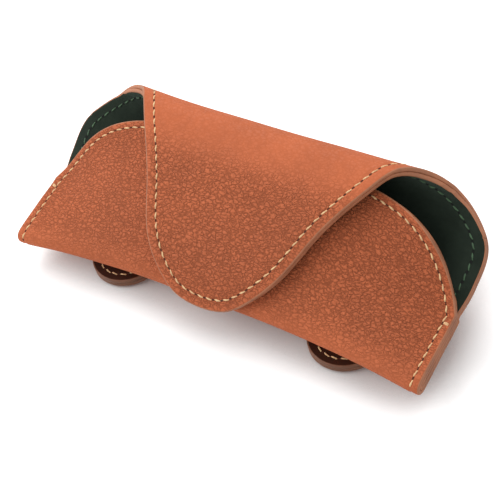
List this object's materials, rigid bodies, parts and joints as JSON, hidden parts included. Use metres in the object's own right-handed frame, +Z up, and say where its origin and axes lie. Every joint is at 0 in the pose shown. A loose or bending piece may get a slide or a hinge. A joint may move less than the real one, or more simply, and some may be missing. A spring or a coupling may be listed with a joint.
{
  "type": "eyeglasses case",
  "caption": "Soft leather eyeglasses case with a pointed wrap-over flap, open-ended pocket, suede lining and belt loops closed by press studs.",
  "frame": {"origin": "middle of the case's footprint, on the table that it lies on", "axes": "+X along the case to its right end as seen from the fold, -Y towards the bottom fold, +Z up from the table"},
  "size_m": [0.1672, 0.0667, 0.0486],
  "materials": {
    "tan_leather": "pebble grained, satin",
    "dark_leather": "smooth, satin",
    "suede": "napped suede",
    "board": "bonded fibre board",
    "thread": "waxed thread",
    "snap_metal": "antique brass",
    "magnet": "nickel plated"
  },
  "bodies": {
    "pocket": {"pocket_leather": "tan_leather", "pocket_lining": "suede", "front_board": "board", "back_board": "board", "front_magnet": "magnet", "mouth_thread": "thread", "side_seam_thread_left": "thread", "side_seam_thread_right": "thread", "side_bartack_left": "thread", "side_bartack_right": "thread", "back_edge_thread_left": "thread", "back_edge_thread_right": "thread", "loop_anchor_left": "tan_leather", "loop_anchor_right": "tan_leather", "anchor_thread_left": "thread", "anchor_thread_right": "thread", "snap_stud_left": "snap_metal", "snap_stud_right": "snap_metal", "snap_post_left": "snap_metal", "snap_post_right": "snap_metal"},
    "flap": {"flap_leather": "tan_leather", "flap_lining": "suede", "flap_board": "board", "flap_magnet": "magnet", "flap_edge_thread": "thread"},
    "loop_left": {"loop_outer_left": "tan_leather", "loop_inner_left": "dark_leather", "loop_thread_left": "thread", "snap_cap_left": "snap_metal", "snap_socket_left": "snap_metal"},
    "loop_right": {"loop_outer_right": "tan_leather", "loop_inner_right": "dark_leather", "loop_thread_right": "thread", "snap_cap_right": "snap_metal", "snap_socket_right": "snap_metal"}
  },
  "joints": [
    {"name": "flap_hinge", "type": "hinge", "parent": "pocket", "child": "flap", "pos_m": [0, 0.02892, 0.04498], "axis": [-1, 0, 0], "range_deg": [0, 150]},
    {"name": "loop_left_hinge", "type": "hinge", "parent": "pocket", "child": "loop_left", "pos_m": [-0.046, 0.03171, 0.0225], "axis": [1, 0, 0], "range_deg": [0, 100]},
    {"name": "loop_right_hinge", "type": "hinge", "parent": "pocket", "child": "loop_right", "pos_m": [0.046, 0.03171, 0.0225], "axis": [1, 0, 0], "range_deg": [0, 100]}
  ]
}
